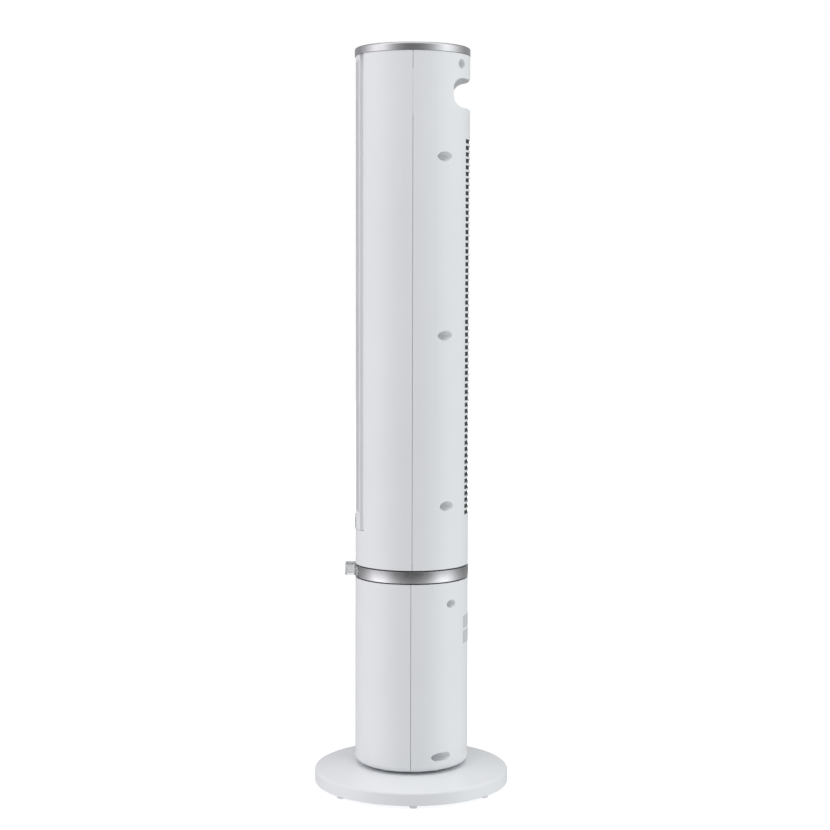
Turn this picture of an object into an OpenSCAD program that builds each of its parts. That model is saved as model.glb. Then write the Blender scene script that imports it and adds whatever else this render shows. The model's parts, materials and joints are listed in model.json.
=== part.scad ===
// Tower fan: a round weighted base carries an oscillating tower in two cylindrical sections,
// with a tangential fan wheel behind a tall front outlet and a slotted intake at the rear.
// Front is -Y, rear is +Y, +Z is up, and the origin is on the floor under the tower's axis.

/* [Base] */
// Outer radius of the base plate
base_r = 141; // [130:1:150]
// Top of the base plate above the floor
base_top = 24.5; // [22:0.5:28]
// Radius rolled over the base plate's upper edge
base_edge = 4; // [2:0.5:5]
// Rise of the base plate's top from its rim to the tower
base_rise = 7.2; // [2:0.1:8]
// Free height under the base plate
foot_gap = 5.7; // [4:0.1:7]
// Radius of one rubber foot
foot_r = 6; // [5:0.5:8]
// Radius of the circle of feet
foot_circle = 130; // [115:1:130]
// Number of feet and of screws in the base
foot_count = 7; // [4:1:8]

/* [Tower] */
// Outer radius of the tower
tower_r = 82; // [80:0.5:84]
// Thickness of the moulded shells
wall = 2.5; // [2:0.1:3]
// Underside of the tower above the floor
tower_z = 35.5; // [35:0.1:36]
// Radius rolled round the tower's lower edge
tower_edge = 8; // [5:0.5:10]
// Width of the seam between a front and a rear shell
seam = 0.5; // [0.3:0.1:1]
// Distance of each seam from the tower's middle plane
seam_shift = 0.8; // [0:0.1:2]

/* [Rings] */
// Lower edge of the middle ring
ring_z = 307.5; // [306:0.1:310]
// Height of the middle ring
ring_h = 16.4; // [15:0.1:18]
// Bulge of the middle ring's face
ring_crown = 0.4; // [0.2:0.1:1]
// Dark gap above and below the middle ring
ring_gap = 1.9; // [0.8:0.1:2.2]
// Lower edge of the top ring
top_ring_z = 1051; // [1048:0.1:1054]
// Total height of the fan
total_h = 1062.2; // [1060:0.1:1064]
// Outer radius of the top ring
top_ring_r = 82.3; // [82:0.1:84]

/* [Front outlet] */
// Half the width of the opening in the front shell
outlet_x = 46; // [44:0.5:48]
// Lower end of the opening
outlet_z = 376; // [370:1:380]
// Half the width of the raised grille
grille_x = 32.5; // [30:0.5:35]
// Outer radius of the raised grille
grille_r = 80.9; // [80:0.1:81.5]
// Distance between the grille's bars
bar_pitch = 5.4; // [5:0.1:7]
// Width of one bar
bar_w = 1.8; // [1.4:0.1:2.4]

/* [Rear intake] */
// Centre of the lowest slot
slot_z = 402.2; // [400:0.1:410]
// Number of slots
slot_count = 59; // [40:1:59]
// Distance between slots
slot_pitch = 9.1; // [9:0.1:9.2]
// Height of one slot
slot_h = 6; // [4:0.1:6.5]
// Half the width of one slot
slot_x = 32; // [25:1:34]
// Thickness of the rear wall between the slots
slot_wall = 1.2; // [1:0.1:1.5]

/* [Carry handle] */
// Floor of the finger groove
handle_z = 975.5; // [972:0.5:978]
// Height of the finger groove
handle_h = 41.5; // [38:0.5:44]
// Distance of the groove's back from the tower's axis
handle_y = 57.6; // [55:0.1:62]
// Radius of the groove's inner corners
handle_corner = 15; // [10:0.5:18]
// Radius of the groove's outer lips
handle_lip = 4; // [2:0.5:5]

/* [Fan wheel] */
// Distance of the wheel's axis behind the tower's axis
wheel_y = 10; // [6:1:12]
// Outer radius of the wheel
wheel_r = 42; // [38:0.5:43]
// Inner radius of the blades
blade_in = 33; // [28:0.5:34]
// Thickness of one blade
blade_t = 1.3; // [1:0.1:1.6]
// Number of blades
blade_count = 20; // [16:1:24]
// Lower end of the wheel
wheel_z = 394; // [392:1:396]
// Upper end of the wheel
wheel_top = 956; // [940:1:957]
// Number of sections between the wheel's discs
wheel_sections = 6; // [4:1:8]

/* [Swing drive] */
// Tooth size of both gears
tooth_m = 2; // [1.5:0.1:2.2]
// Teeth on the gear fixed to the base
fixed_teeth = 36; // [36:12:36]
// Teeth on the swing motor's pinion
pinion_teeth = 12; // [12:1:12]
// Play on each flank of a tooth
tooth_play = 0.18; // [0.1:0.01:0.3]

/* [Scent tray] */
// Half the width of the clear tray
tray_x = 29.7; // [26:0.1:30]
// Half the width of the tray's pull tab
tab_x = 9.5; // [8:0.5:14]
// Height of the pull tab
tab_h = 17.6; // [14:0.1:18]
// How far the pull tab's front stands from the tower's axis
tab_front = 96.7; // [92:0.1:100]

/* [Control panel] */
// Radius of one push button
button_r = 7; // [6:0.5:8]
// Travel of one push button
button_travel = 1.2; // [0.8:0.1:1.4]
// Radius of the arc on which the buttons stand
button_arc = 52; // [48:1:56]
// Angle between neighbouring buttons
button_step = 24; // [22:1:28]

/* [Hidden] */
$fn = 96;

white = "#e4e7ea";
inner_white = "#d4d7da";
steel = "silver";
dark = "#33363a";

big = 400;
fit = 0.3;
screw_r = 1.9;
screw_head_r = 3.6;
screw_head_h = 2.4;
pilot_r = screw_r + 0.05;
hole_r = screw_r + 0.25;

shell_in = tower_r - wall;
frame_r = shell_in - fit;
lower_top = ring_z - ring_gap;
upper_z = ring_z + ring_h + ring_gap;
upper_top = top_ring_z - 0.5;
lower_seam_y = -seam_shift;
upper_seam_y = seam_shift;

// Base plate
base_rim = base_r - base_edge;
dome_r = 73;
dome_top = base_top + base_rise;
cover_t = 3;

// Turning joint between the base and the tower
neck_r = 58;
neck_top = tower_z + 0.5;
post_r = 20;
post_bore = 9;
post_flange_r = 40;
thrust_h = 2.8;
turn_z = neck_top + thrust_h + 0.2;
turn_h = 4;
turn_r = 76;
hub_top = turn_z + turn_h + 2;
post_top = hub_top + 0.3;
washer_h = 1;
gear_z = post_top + washer_h;
gear_h = 8;
fixed_pitch_r = tooth_m * fixed_teeth / 2;
pinion_pitch_r = tooth_m * pinion_teeth / 2;
pinion_y = -(fixed_pitch_r + pinion_pitch_r);
swing_z = gear_z + gear_h + 4;
swing_ear_x = 32;
gear_screw_r = 14.5;
post_screw_r = 34;
base_screw_r = 108;
turn_screw_r = 69;
gland_y = 80;

// Screw wells, drilled forwards from the rear: distance from the middle plane, height, radius, stretch
lower_wells = [[59, 275, 5.8, 0], [68.4, 56, 6.1, 2.4]];
upper_wells = [[67, 906, 7, 0], [66.5, 656.5, 7, 0], [64.6, 415.6, 7, 0]];
head_well = [43.5, 1036, 6.9, 0];
well_floor_t = 3;
well_depth = 3.2;
screen_x = slot_x + 2;
screen_r = tower_r - slot_wall - 0.1;
screen_t = 1.2;
well_wall = 1.8;
post_wall_r = 4.5;

// Middle frame and scent tray
tray_z = ring_z + 0.3;
tray_h = ring_h - 0.6;
tray_top = tray_z + tray_h;
tray_face_r = tower_r + 0.3;
tab_z = ring_z;
tab_wall = 1.6;
deck_z = tray_z - 3.5;
deck_t = 3;
rim_top = upper_z + 5;
tray_gap = 0.6;
tray_back = 36;
tray_wall = 1.8;
pocket_t = 2;
ring_cut_x = tray_x + 2.1;

// Fan motor
bracket_z = rim_top + 1.6;
bracket_t = 2;
can_z = bracket_z + bracket_t + 4.5;
can_h = 38;
can_r = 43;
can_t = 1.5;
ear_r = 50;
shaft_r = 4;
bush_r = 8;
bush_h = 6;

// Air duct and head
duct_floor_z = wheel_z - 6;
duct_t = 1.6;
scroll_start = 140;
scroll_end = 239;
scroll_growth = 35;
duct_z = duct_floor_z + 2;
head_z = wheel_top + 4;
head_t = 3;
axle_r = 3;
arm_x = head_well[0];

// Control panel
panel_r = 74.7;
panel_top = total_h - 3;
panel_t = 3;
board_z = panel_top - 17.6;
board_t = 1.6;
board_r = 54;
board_y = -8;
cable_x = 46;
window_x = 30;
window_y = 10;

function well_floor(w) = sqrt(tower_r * tower_r - pow(w[0] + w[2] + w[3], 2)) - well_depth;
function dome_at(r) = base_top + base_rise * (base_rim - r) / (base_rim - dome_r);
function polar(r, a) = [r * cos(a), r * sin(a)];
function involute(a) = tan(a) * 180 / PI - a;

// ---- shared shapes ----

module ring(r_out, r_in, z0, z1) {
    translate([0, 0, z0])
        difference() {
            cylinder(r = r_out, h = z1 - z0);
            translate([0, 0, -1]) cylinder(r = r_in, h = z1 - z0 + 2);
        }
}

module block(x0, x1, y0, y1, z0, z1) {
    translate([x0, y0, z0]) cube([x1 - x0, y1 - y0, z1 - z0]);
}

module mirrored() {
    children();
    mirror([1, 0, 0]) children();
}

module around(count, start = 0) {
    for (i = [0 : count - 1]) rotate(start + i * 360 / count) children();
}

// A pan-head screw whose head stands on z = 0 and whose shank points down
module screw(shank_l, head_r = screw_head_r) {
    translate([0, 0, -shank_l]) cylinder(r = screw_r, h = shank_l + 0.1);
    difference() {
        cylinder(r = head_r, h = screw_head_h);
        for (a = [0, 90])
            rotate(a) translate([-2.2, -0.45, screw_head_h - 1.2]) cube([4.4, 0.9, 2]);
    }
}

module front_half(seam_y) {
    intersection() {
        children();
        block(-big, big, -big, seam_y - seam / 2, -1, total_h + 1);
    }
}

module rear_half(seam_y) {
    intersection() {
        children();
        block(-big, big, seam_y + seam / 2, big, -1, total_h + 1);
    }
}

// The lip on a rear shell that laps behind the front shell, so the seam is never open
module seam_lip(seam_y, z0, z1) {
    intersection() {
        union() {
            ring(shell_in - 0.2, shell_in - 1.6, z0, z1);
            intersection() {
                ring(shell_in + 0.5, shell_in - 1.6, z0, z1);
                block(-big, big, seam_y + seam / 2, big, z0, z1);
            }
        }
        block(-big, big, seam_y - 3.5, seam_y + 5, z0, z1);
    }
}

// A blind bore along Y, stretched sideways by s
module y_bore(x, z, r, s, y0, y1) {
    for (dx = [-s, s])
        translate([x + dx, y0, z]) rotate([-90, 0, 0]) cylinder(r = r, h = y1 - y0);
    if (s > 0)
        translate([x - s, y0, z - r]) cube([2 * s, y1 - y0, 2 * r]);
}

module well_boss(w) {
    floor_y = well_floor(w);
    intersection() {
        y_bore(w[0], w[1], w[2] + well_wall, w[3], floor_y - well_floor_t, tower_r);
        translate([0, 0, w[1] - 20]) cylinder(r = tower_r - 0.8, h = 40);
    }
}

module well_hole(w) {
    floor_y = well_floor(w);
    y_bore(w[0], w[1], w[2], w[3], floor_y, big);
    y_bore(w[0], w[1], hole_r, 0, floor_y - big, floor_y + 1);
}

module well_screw(w) {
    translate([w[0], well_floor(w), w[1]]) rotate([-90, 0, 0]) screw(16);
}

// The long boss on a front shell that a well's screw bites into
module shell_post(w) {
    tip = well_floor(w) - well_floor_t - fit;
    intersection() {
        difference() {
            y_bore(w[0], w[1], post_wall_r, 0, -tower_r, tip);
            y_bore(w[0], w[1], pilot_r, 0, tip - 16, tip + 1);
        }
        translate([0, 0, w[1] - 20]) cylinder(r = tower_r - 0.8, h = 40);
    }
}

// ---- base ----

module base_cover() {
    color(white)
        difference() {
            union() {
                rotate_extrude()
                    union() {
                        translate([0, foot_gap]) square([base_r, base_top - base_edge - foot_gap]);
                        translate([0, foot_gap]) square([base_r - base_edge, base_top - foot_gap]);
                        translate([base_r - base_edge, base_top - base_edge]) circle(base_edge);
                        polygon([[0, base_top - 1], [base_rim, base_top - 1], [base_rim, base_top],
                            [dome_r, dome_top], [0, dome_top]]);
                        translate([0, base_top - 1]) square([neck_r, neck_top - base_top + 1]);
                    }
            }
            rotate_extrude()
                polygon([[neck_r - 3, foot_gap - 1], [base_r - cover_t, foot_gap - 1],
                    [base_r - cover_t, base_top - cover_t], [dome_r, dome_top - cover_t],
                    [neck_r - 3, dome_top - cover_t]]);
            translate([0, 0, foot_gap - 1]) cylinder(r = neck_r - 2.9, h = neck_top - foot_gap - 2);
            translate([0, 0, foot_gap]) cylinder(r = post_r + 0.5, h = big);
            around(4, 45) translate([post_screw_r, 0, neck_top - 10]) cylinder(r = pilot_r, h = 20);
        }
    color(white)
        around(foot_count, 360 / foot_count / 2)
            translate([base_screw_r, 0, 0])
                difference() {
                    translate([0, 0, 9]) cylinder(r = 5, h = dome_at(base_screw_r) - cover_t / 2 - 9);
                    translate([0, 0, 8]) cylinder(r = pilot_r, h = 10.5);
                }
}

module base_pan() {
    color(inner_white)
        difference() {
            translate([0, 0, foot_gap + 0.5]) cylinder(r = base_r - 3 - fit, h = 2.5);
            around(foot_count, 1.5)
                translate([foot_circle, 0, foot_gap]) cylinder(r = foot_r + 0.2, h = 1);
            around(foot_count, 360 / foot_count / 2)
                translate([base_screw_r, 0, 0]) cylinder(r = hole_r, h = 20);
            translate([0, gland_y, 0]) cylinder(r = 6.05, h = 20);
        }
}

module ballast_plate() {
    color("dimgray")
        difference() {
            ring(132, neck_r + 4, 9.2, 14.2);
            around(foot_count, 360 / foot_count / 2)
                translate([base_screw_r, 0, 0]) cylinder(r = 6, h = 20);
            translate([0, gland_y, 0]) cylinder(r = 10, h = 20);
        }
}

module rubber_feet() {
    color("#b9bbbd")
        around(foot_count, 1.5)
            translate([foot_circle, 0, 0])
                rotate_extrude() {
                    square([foot_r - 1.5, foot_gap + 1]);
                    translate([0, 1.5]) square([foot_r, foot_gap - 0.5]);
                    translate([foot_r - 1.5, 1.5]) circle(1.5);
                }
}

module base_screws() {
    color(steel)
        around(foot_count, 360 / foot_count / 2)
            translate([base_screw_r, 0, foot_gap + 0.5]) rotate([180, 0, 0]) screw(11);
}

module pivot_post() {
    color(inner_white)
        difference() {
            union() {
                translate([0, 0, neck_top - 6]) cylinder(r = post_flange_r, h = 3);
                translate([0, 0, neck_top - 6]) cylinder(r = post_r, h = post_top - neck_top + 6);
            }
            translate([0, 0, 0]) cylinder(r = post_bore, h = big);
            around(4, 45) translate([post_screw_r, 0, neck_top - 10]) cylinder(r = hole_r, h = 8);
            around(3, 30) translate([gear_screw_r, 0, post_top - 8]) cylinder(r = pilot_r, h = 20);
        }
}

module post_screws() {
    color(steel)
        around(4, 45)
            translate([post_screw_r, 0, neck_top - 6]) rotate([180, 0, 0]) screw(5.9);
}

module thrust_ring() {
    color("ivory") ring(neck_r - 3, post_r + 9, neck_top, neck_top + thrust_h);
}

module retaining_washer() {
    color(steel)
        difference() {
            ring(30, post_bore, post_top, post_top + washer_h);
            around(3, 30) translate([gear_screw_r, 0, post_top - 1]) cylinder(r = hole_r, h = 4);
        }
}

module cord_gland() {
    color(dark)
        translate([0, gland_y, 0]) {
            ring(6, 3.4, foot_gap - 2.2, foot_gap + 5);
            ring(8.5, 3.4, foot_gap - 2.2, foot_gap + 0.4);
            ring(8.5, 3.4, foot_gap + 3.1, foot_gap + 5);
        }
}

// ---- swing drive ----

// One side of a tooth, from root to tip, as [radius, half angle]
function flank(teeth, side) =
    let (
        pitch_r = tooth_m * teeth / 2,
        base_rad = pitch_r * cos(20),
        root_r = pitch_r - 1.3 * tooth_m,
        tip_r = pitch_r + 0.9 * tooth_m,
        half = 90 / teeth - tooth_play / pitch_r * 180 / PI + involute(20),
        start_r = max(base_rad, root_r)
    )
    [for (i = [0 : 3])
        let (
            r = start_r + (tip_r - start_r) * i / 3,
            a = half - involute(acos(base_rad / r))
        )
        [r, side * a]];

function tooth(teeth) =
    let (
        right = flank(teeth, -1),
        left = flank(teeth, 1),
        root_r = tooth_m * (teeth / 2 - 1.3)
    )
    concat(
        [polar(root_r - 0.4, right[0][1])],
        [for (p = right) polar(p[0], p[1])],
        [for (i = [3 : -1 : 0]) polar(left[i][0], left[i][1])],
        [polar(root_r - 0.4, left[0][1])]
    );

module gear(teeth, start) {
    root_r = tooth_m * (teeth / 2 - 1.3);
    cylinder(r = root_r, h = gear_h);
    around(teeth, start) linear_extrude(gear_h) polygon(tooth(teeth));
}

module fixed_gear() {
    color("ivory")
        difference() {
            translate([0, 0, gear_z]) gear(fixed_teeth, 0);
            translate([0, 0, gear_z - 1]) cylinder(r = post_bore, h = 20);
            around(3, 30) translate([gear_screw_r, 0, gear_z - 1]) cylinder(r = hole_r, h = 20);
            ring(30, 20, gear_z + 4, gear_z + 20);
        }
}

module gear_screws() {
    color(steel)
        around(3, 30) translate([gear_screw_r, 0, gear_z + gear_h]) screw(gear_h + 8);
}

module swing_pinion() {
    color("ivory")
        translate([0, pinion_y, gear_z]) {
            gear(pinion_teeth, 180 / pinion_teeth);
            cylinder(r = 2.95, h = gear_h + 8);
        }
}

module turntable() {
    color(inner_white)
        difference() {
            union() {
                translate([0, 0, turn_z]) cylinder(r = turn_r, h = turn_h);
                translate([0, 0, turn_z]) cylinder(r = post_r + 6, h = hub_top - turn_z);
                mirrored()
                    translate([swing_ear_x, pinion_y, turn_z]) cylinder(r = 4, h = swing_z - turn_z);
            }
            translate([0, 0, turn_z - 1]) cylinder(r = post_r + 0.05, h = 20);
            mirrored()
                translate([swing_ear_x, pinion_y, swing_z - 10]) cylinder(r = pilot_r, h = 20);
            around(6, 30) translate([turn_screw_r, 0, turn_z - 1]) cylinder(r = pilot_r, h = 20);
        }
}

module turntable_screws() {
    color(steel)
        around(6, 30) translate([turn_screw_r, 0, tower_z]) rotate([180, 0, 0]) screw(7);
}

module swing_motor() {
    color(steel)
        difference() {
            translate([0, pinion_y, swing_z]) {
                cylinder(r = 24, h = 18);
                translate([-swing_ear_x - 5, -5, 0]) cube([2 * swing_ear_x + 10, 10, 1.2]);
            }
            translate([0, pinion_y, swing_z - 1]) cylinder(r = 3, h = 7);
            mirrored()
                translate([swing_ear_x, pinion_y, swing_z - 1]) cylinder(r = hole_r, h = 10);
        }
}

module swing_motor_screws() {
    color(steel)
        mirrored() translate([swing_ear_x, pinion_y, swing_z + 1.2]) screw(9);
}

// ---- lower section ----

module can_outline(r, z0, z1, edge) {
    translate([0, z0]) square([r - edge, z1 - z0]);
    translate([0, z0 + edge]) square([r, z1 - z0 - edge]);
    translate([r - edge, z0 + edge]) circle(edge);
}

module lower_body() {
    difference() {
        rotate_extrude()
            difference() {
                can_outline(tower_r, tower_z, lower_top, tower_edge);
                can_outline(shell_in, tower_z + wall, lower_top + 1, tower_edge - wall);
            }
        translate([0, 0, tower_z - 1]) cylinder(r = neck_r + 4, h = 10);
        around(6, 30) translate([turn_screw_r, 0, tower_z - 1]) cylinder(r = hole_r, h = 5);
    }
}

module lower_front_shell() {
    color(white) {
        front_half(lower_seam_y) lower_body();
        mirrored() for (w = lower_wells) shell_post(w);
        board_posts();
    }
}

module board_posts() {
    mirrored()
        for (z = [118, 186])
            intersection() {
                difference() {
                    y_bore(34, z, 3.5, 0, -tower_r, -25.3);
                    y_bore(34, z, pilot_r, 0, -36, -20);
                }
                translate([0, 0, z - 10]) cylinder(r = tower_r - 0.8, h = 20);
            }
}

module lower_rear_shell() {
    color(white)
        difference() {
            union() {
                rear_half(lower_seam_y) lower_body();
                mirrored() for (w = lower_wells) well_boss(w);
                seam_lip(lower_seam_y, 66, deck_z - 4);
            }
            mirrored() for (w = lower_wells) well_hole(w);
        }
}

module lower_shell_screws() {
    color(steel) mirrored() for (w = lower_wells) well_screw(w);
}

module rating_labels() {
    color("#c3c7cb")
        intersection() {
            union() {
                ring(tower_r + 0.25, tower_r, 213, 231);
                ring(tower_r + 0.25, tower_r, 235, 253);
            }
            block(-35, 35, 0, big, 200, 260);
        }
}

module power_board() {
    color("seagreen")
        difference() {
            block(-40, 40, -25, -23.4, 112, 192);
            mirrored() for (z = [118, 186]) y_bore(34, z, hole_r, 0, -30, -20);
        }
    color(dark) {
        block(-30, -4, -23.5, -2, 122, 150);
        block(4, 26, -23.5, -7, 120, 138);
        block(28, 39, -29.3, -24.9, 149, 158);
        for (x = [2, 14, 26])
            translate([x, -23.5, 168]) rotate([-90, 0, 0]) cylinder(r = 5, h = 16);
    }
}

module power_board_screws() {
    color(steel)
        mirrored()
            for (z = [118, 186])
                translate([34, -23.4, z]) rotate([-90, 0, 0]) screw(11);
}

// ---- middle ring, middle frame and scent tray ----

module middle_ring() {
    crown_r = (ring_h * ring_h / 4 + ring_crown * ring_crown) / (2 * ring_crown);
    color("lightgray")
        difference() {
            rotate_extrude()
                intersection() {
                    translate([frame_r + 0.3, ring_z]) square([6, ring_h]);
                    translate([tower_r + ring_crown - crown_r, ring_z + ring_h / 2])
                        circle(crown_r, $fn = 720);
                }
            block(-ring_cut_x, ring_cut_x, -big, -60, ring_z - 1, ring_z + ring_h + 1);
        }
}

module middle_frame() {
    pocket_x = tray_x + tray_gap;
    pocket_top = tray_top + 0.4;
    color(inner_white)
        difference() {
            union() {
                translate([0, 0, deck_z]) cylinder(r = frame_r, h = deck_t);
                ring(frame_r, frame_r - wall, deck_z, rim_top);
                intersection() {
                    union() {
                        mirrored()
                            block(pocket_x, pocket_x + pocket_t, -frame_r, -32, deck_z, pocket_top + 1);
                        block(-pocket_x - pocket_t, pocket_x + pocket_t, -frame_r, -30,
                            pocket_top, pocket_top + pocket_t);
                    }
                    translate([0, 0, deck_z]) cylinder(r = frame_r, h = big);
                }
                translate([0, wheel_y, deck_z])
                    around(4, 45) translate([ear_r, 0, 0]) cylinder(r = 5, h = bracket_z - deck_z);
            }
            block(-pocket_x, pocket_x, -big, -40, deck_z + deck_t, pocket_top);
            translate([0, wheel_y, deck_z])
                around(4, 45) translate([ear_r, 0, bracket_z - deck_z - 12]) cylinder(r = pilot_r, h = 20);
            translate([0, 0, deck_z - 1]) cylinder(r = 10, h = 10);
            cable_slot(deck_z - 1, deck_z + 10);
        }
}

module scent_tray() {
    edge = 2;
    tab_top = tab_z + tab_h;
    color("azure", 0.5)
        difference() {
            union() {
                intersection() {
                    translate([0, 0, tray_z]) cylinder(r = tray_face_r, h = tray_h);
                    block(-tray_x, tray_x, -tower_r - 1, -tray_back, tray_z, tray_top);
                }
                block(-tab_x, tab_x, -tab_front + edge, -tower_r - 0.1, tab_z, tab_top);
                block(-tab_x, tab_x, -tab_front, -tower_r - 0.1, tab_z + edge, tab_top - edge);
                for (z = [tab_z + edge, tab_top - edge])
                    translate([-tab_x, -tab_front + edge, z]) rotate([0, 90, 0])
                        cylinder(r = edge, h = 2 * tab_x);
            }
            intersection() {
                translate([0, 0, tray_z]) cylinder(r = tray_face_r - tray_wall, h = tray_h);
                block(-tray_x + tray_wall, tray_x - tray_wall, -tower_r, -tray_back - tray_wall,
                    tray_z + tray_wall, tray_top - tray_wall);
            }
            block(-tray_x + 8, tray_x - 8, -tower_r + 10, -tray_back - 6,
                tray_top - tray_wall - 1, tray_top + 1);
            block(-tab_x + tab_wall, tab_x - tab_wall, -tab_front + tab_wall + 0.4,
                -tray_face_r - 0.6, tab_z - 1, tab_top - tab_wall);
        }
}

module scent_pad() {
    inset = tray_wall + 0.5;
    color("whitesmoke")
        block(-tray_x + inset, tray_x - inset, -tower_r + 8, -tray_back - inset,
            tray_z + inset, tray_top - inset - 1);
}

// ---- fan motor ----

module motor_bracket() {
    color(steel)
        translate([0, wheel_y, bracket_z])
            difference() {
                intersection() {
                    cylinder(r = 56, h = bracket_t);
                    translate([0, 0, bracket_t / 2]) cube([90, 90, 10], center = true);
                }
                translate([0, 0, -1]) cylinder(r = 14, h = 10);
                around(4, 45) translate([ear_r, 0, -1]) cylinder(r = hole_r, h = 10);
            }
}

module motor_grommets() {
    color(dark)
        translate([0, wheel_y, 0])
            around(4, 45)
                translate([ear_r, 0, 0]) ring(4.6, hole_r, bracket_z + bracket_t, can_z);
}

module motor_screws() {
    color(steel)
        translate([0, wheel_y, can_z + 2]) around(4, 45) translate([ear_r, 0, 0]) screw(18);
}

module motor_can() {
    color("gray")
        translate([0, wheel_y, can_z])
            difference() {
                union() {
                    cylinder(r = can_r, h = can_h);
                    around(4, 45)
                        difference() {
                            union() {
                                translate([can_r - 3, -5, 0]) cube([ear_r - can_r + 3, 10, 2]);
                                translate([ear_r, 0, 0]) cylinder(r = 5, h = 2);
                            }
                            translate([ear_r, 0, -1]) cylinder(r = hole_r, h = 5);
                        }
                }
                translate([0, 0, can_t]) cylinder(r = can_r - can_t, h = can_h - 2 * can_t);
                translate([0, 0, -1]) cylinder(r = bush_r, h = can_h + 2);
                around(8) translate([28, 0, can_h - 5]) cylinder(r = 5, h = 10);
            }
}

module motor_stator() {
    color("chocolate")
        translate([0, wheel_y, 0]) ring(can_r - can_t - 0.2, 24, can_z + 6, can_z + can_h - 6);
}

module motor_bushes() {
    color("goldenrod")
        translate([0, wheel_y, 0])
            for (z = [can_z - 3, can_z + can_h - 3]) ring(bush_r, shaft_r + 0.05, z, z + bush_h);
}

module motor_rotor() {
    color("gray")
        translate([0, wheel_y, 0]) ring(23.4, shaft_r, can_z + 7, can_z + can_h - 7);
}

module motor_shaft() {
    color(steel)
        translate([0, wheel_y, can_z - 3]) cylinder(r = shaft_r, h = wheel_z + 12 - can_z + 3);
}

// ---- fan wheel and duct ----

// A forward-curved blade, drawn from its inner edge to its outer edge
function blade_line(side) =
    [for (i = [0 : 5])
        let (
            t = i / 5,
            r = blade_in + (wheel_r - 0.6 - blade_in) * t,
            a = 16 * t * t + side * blade_t / 2 / r * 180 / PI
        )
        polar(r, a)];

function reversed(list) = [for (i = [len(list) - 1 : -1 : 0]) list[i]];

module fan_wheel() {
    section = (wheel_top - wheel_z - 2) / wheel_sections;
    color(dark)
        translate([0, wheel_y, 0]) {
            difference() {
                union() {
                    translate([0, 0, wheel_z]) cylinder(r = wheel_r, h = 2);
                    translate([0, 0, wheel_z]) cylinder(r = 12, h = 16);
                    translate([0, 0, wheel_top - 2]) cylinder(r = wheel_r, h = 2);
                    translate([0, 0, wheel_top - 14]) cylinder(r = 9, h = 14);
                    for (i = [1 : wheel_sections - 1])
                        ring(wheel_r, blade_in - 3, wheel_z + i * section, wheel_z + i * section + 2);
                    around(blade_count)
                        translate([0, 0, wheel_z + 1])
                            linear_extrude(wheel_top - wheel_z - 2)
                                polygon(concat(blade_line(-1), reversed(blade_line(1))));
                }
                translate([0, 0, wheel_z - 1]) cylinder(r = shaft_r, h = 13);
                translate([0, 0, wheel_top - 12]) cylinder(r = axle_r, h = 20);
            }
        }
}

module wheel_axle() {
    color(steel)
        translate([0, wheel_y, wheel_top - 12]) cylinder(r = axle_r, h = 12 + head_z - wheel_top + 9);
}

// Radius of the scroll wall round the wheel's axis, growing from the intake to the outlet
function scroll_r(a) =
    wheel_r + 4 + scroll_growth * pow((a - scroll_start) / (scroll_end - scroll_start), 1.8);

module duct_scroll() {
    angles = [for (i = [0 : 20]) scroll_start + (scroll_end - scroll_start) * i / 20];
    inner = [for (a = angles) polar(scroll_r(a), a)];
    outer = [for (a = angles) polar(scroll_r(a) + duct_t, a)];
    color(dark)
        translate([0, wheel_y, 0]) {
            translate([0, 0, duct_z - 1])
                linear_extrude(head_z - duct_z + 0.7) polygon(concat(inner, reversed(outer)));
            difference() {
                translate([0, 0, duct_floor_z]) cylinder(r = 58, h = 2);
                translate([0, 0, duct_floor_z - 1]) cylinder(r = 14, h = 5);
            }
        }
}

module duct_tongue() {
    nose = [41.5, -13];
    color(dark)
        translate([0, 0, duct_z + 0.3]) {
            height = head_z - duct_z - 0.6;
            translate([nose[0], nose[1], 0]) cylinder(r = 1.6, h = height);
            linear_extrude(height)
                polygon([nose + [-1.5, 0], nose + [1.5, 0], [44.2, -59.5], [42.4, -59.5]]);
            linear_extrude(height)
                polygon([nose + [0, -1.5], [59.5, -1.6], [59.5, 0.4], nose + [0, 1.5]]);
        }
}

module head_frame() {
    color(inner_white)
        difference() {
            union() {
                intersection() {
                    translate([0, 0, head_z]) cylinder(r = frame_r, h = head_t);
                    block(-big, big, -53.5, 70, head_z, head_z + head_t);
                }
                translate([0, wheel_y, head_z]) cylinder(r = 10, h = 10);
                mirrored() {
                    block(arm_x - 4, arm_x + 4, 34, 50, head_z, head_well[1] + 5);
                    y_bore(arm_x, head_well[1], post_wall_r, 0, 40,
                        well_floor(head_well) - well_floor_t - fit);
                }
            }
            translate([0, wheel_y, head_z - 1]) cylinder(r = 6, h = 20);
            mirrored() y_bore(arm_x, head_well[1], pilot_r, 0, 38, 80);
            cable_slot(head_z - 1, head_z + 5);
        }
}

module axle_bush() {
    color("goldenrod")
        translate([0, wheel_y, 0]) ring(6, axle_r + 0.05, head_z + 1, head_z + 10);
}

// ---- upper section ----

module upper_body() {
    ring(tower_r, shell_in, upper_z, upper_top);
}

module outlet_opening() {
    block(-outlet_x, outlet_x, -big, -40, outlet_z, total_h + 5);
}

// The upright jambs beside the outlet, with a bridge behind the grille at each end
module outlet_frame() {
    jamb_in = 72.5;
    jamb_x = outlet_x + 2;
    z0 = outlet_z - 4;
    intersection() {
        ring(tower_r - 1, jamb_in, z0, upper_top);
        union() {
            mirrored() block(outlet_x, jamb_x, -big, 0, z0, upper_top);
            block(-jamb_x, jamb_x, -big, 0, z0, outlet_z);
        }
    }
    intersection() {
        ring(jamb_in + 2, jamb_in, z0, upper_top);
        union() {
            block(-jamb_x, jamb_x, -big, 0, z0, outlet_z + 11);
            block(-jamb_x, jamb_x, -big, 0, upper_top - 20, upper_top);
        }
    }
}

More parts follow.
